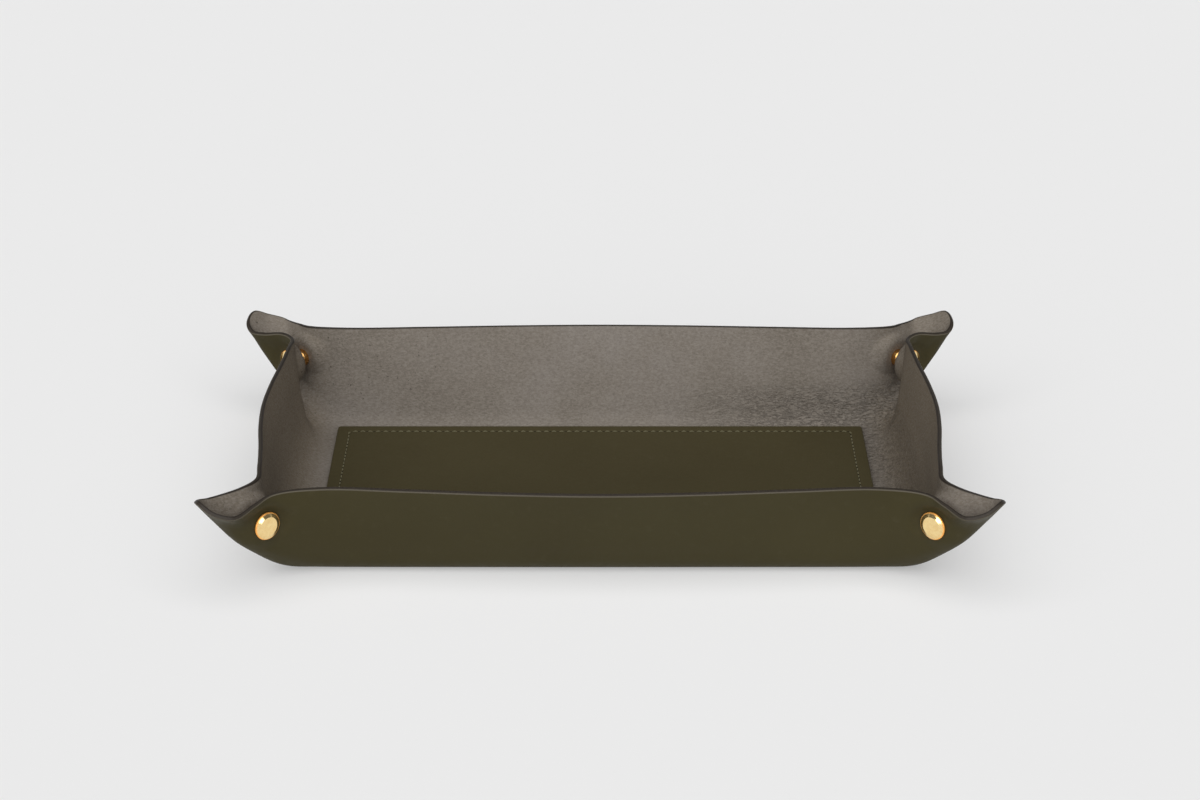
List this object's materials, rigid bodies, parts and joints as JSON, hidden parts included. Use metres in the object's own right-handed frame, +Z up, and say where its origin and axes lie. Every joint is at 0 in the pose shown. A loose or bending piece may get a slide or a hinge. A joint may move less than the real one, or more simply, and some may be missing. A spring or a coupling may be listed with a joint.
{
  "type": "leather tray",
  "caption": "Rectangular desk tray folded from one leather sheet, with pinched corner beaks held by brass press studs and a stitched pad on its floor.",
  "frame": {"origin": "on the ground, under the middle of the tray's underside", "axes": "+X along the long walls, to the right seen from the front; +Y towards the back wall; +Z up out of the tray's open top"},
  "size_m": [0.3436, 0.2208, 0.0491],
  "materials": {
    "olive_leather": "smooth matt olive grain outside, grey-brown suede flesh side inside, dark painted cut edge",
    "olive_pad_leather": "smooth matt olive grain",
    "khaki_thread": "waxed twisted thread",
    "polished_brass": "polished",
    "spring_steel": "plain drawn wire"
  },
  "bodies": {
    "tray": {"leather_body": "olive_leather", "base_pad": "olive_pad_leather", "pad_stitching_top": "khaki_thread", "pad_stitching_bottom": "khaki_thread", "front_left_snap_stud": "polished_brass", "front_left_snap_back_cap": "polished_brass", "front_right_snap_stud": "polished_brass", "front_right_snap_back_cap": "polished_brass", "back_left_snap_stud": "polished_brass", "back_left_snap_back_cap": "polished_brass", "back_right_snap_stud": "polished_brass", "back_right_snap_back_cap": "polished_brass"},
    "front_left_layer": {"front_left_snap_cap": "polished_brass", "front_left_snap_socket": "polished_brass", "front_left_snap_spring": "spring_steel"},
    "front_right_layer": {"front_right_snap_cap": "polished_brass", "front_right_snap_socket": "polished_brass", "front_right_snap_spring": "spring_steel"},
    "back_left_layer": {"back_left_snap_cap": "polished_brass", "back_left_snap_socket": "polished_brass", "back_left_snap_spring": "spring_steel"},
    "back_right_layer": {"back_right_snap_cap": "polished_brass", "back_right_snap_socket": "polished_brass", "back_right_snap_spring": "spring_steel"}
  },
  "joints": [
    {"name": "front_left_pinch", "type": "hinge", "parent": "tray", "child": "front_left_layer", "pos_m": [-0.15184, -0.09288, 0.02137], "axis": [0.5689, 0.5122, -0.6434], "range_deg": [0, 20], "deforming": ["leather_body"]},
    {"name": "front_right_pinch", "type": "hinge", "parent": "tray", "child": "front_right_layer", "pos_m": [0.15184, -0.09288, 0.02137], "axis": [0.5689, -0.5122, 0.6434], "range_deg": [0, 20], "deforming": ["leather_body"]},
    {"name": "back_left_pinch", "type": "hinge", "parent": "tray", "child": "back_left_layer", "pos_m": [-0.15184, 0.09288, 0.02137], "axis": [-0.5689, 0.5122, 0.6434], "range_deg": [0, 20], "deforming": ["leather_body"]},
    {"name": "back_right_pinch", "type": "hinge", "parent": "tray", "child": "back_right_layer", "pos_m": [0.15184, 0.09288, 0.02137], "axis": [-0.5689, -0.5122, -0.6434], "range_deg": [0, 20], "deforming": ["leather_body"]}
  ]
}
